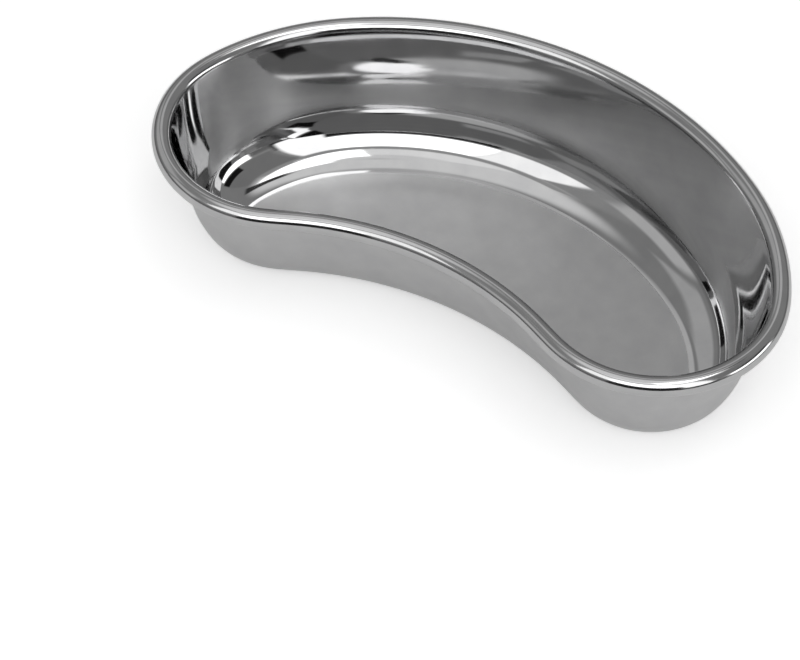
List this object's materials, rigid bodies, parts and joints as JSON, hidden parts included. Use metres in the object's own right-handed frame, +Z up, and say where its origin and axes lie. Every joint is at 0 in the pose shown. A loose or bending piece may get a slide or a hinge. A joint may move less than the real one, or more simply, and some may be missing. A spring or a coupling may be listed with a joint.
{
  "type": "kidney-shaped instrument tray",
  "caption": "Kidney-shaped polished stainless tray with a flat floor, deep coved walls and a rolled, wired rim, for holding instruments or fluids in a clinic.",
  "frame": {"origin": "on the bench under the middle of the tray's overall length and width", "axes": "+X along the length, +Y towards the bulging back, -Y towards the hollow front that fits against the body, +Z up out of the tray"},
  "size_m": [0.25, 0.138, 0.054],
  "materials": {
    "polished_steel": "mirror-polished stainless steel, not plated, with fine polishing lines and light wear",
    "wire_steel": "drawn stainless wire, dull, hidden inside the rim"
  },
  "bodies": {
    "root": {"dish_shell": "polished_steel", "rim_wire": "wire_steel"}
  },
  "joints": []
}
